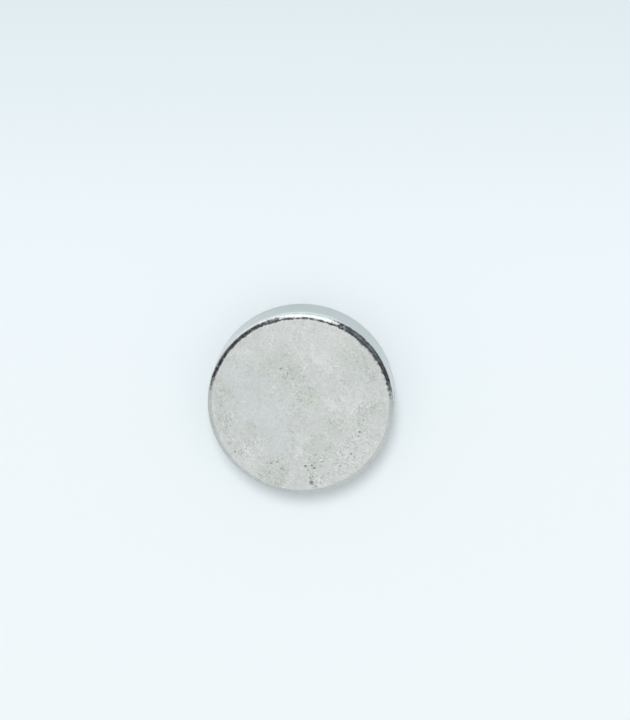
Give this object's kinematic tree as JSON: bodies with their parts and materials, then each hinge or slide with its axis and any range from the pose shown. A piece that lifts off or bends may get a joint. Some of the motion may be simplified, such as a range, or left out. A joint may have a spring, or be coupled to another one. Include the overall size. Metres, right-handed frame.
{
  "type": "disc magnet",
  "caption": "Plain round disc magnet with flat satin faces, a glossy rim and a narrow bevel round the front edge, for holding, latching or sensing.",
  "frame": {"origin": "centre of the back face, on the surface that the disc lies on", "axes": "+Z along the disc's axis, out of the front face, which looks up; +Y towards the top of the front face as the picture shows it, and +X to its right"},
  "size_m": [0.02, 0.02, 0.005],
  "materials": {
    "nickel_plate": "satin nickel plating with fine light and dark grain on the faces, glossier on the rim and edges"
  },
  "bodies": {
    "root": {"disc_magnet": "nickel_plate"}
  },
  "joints": []
}
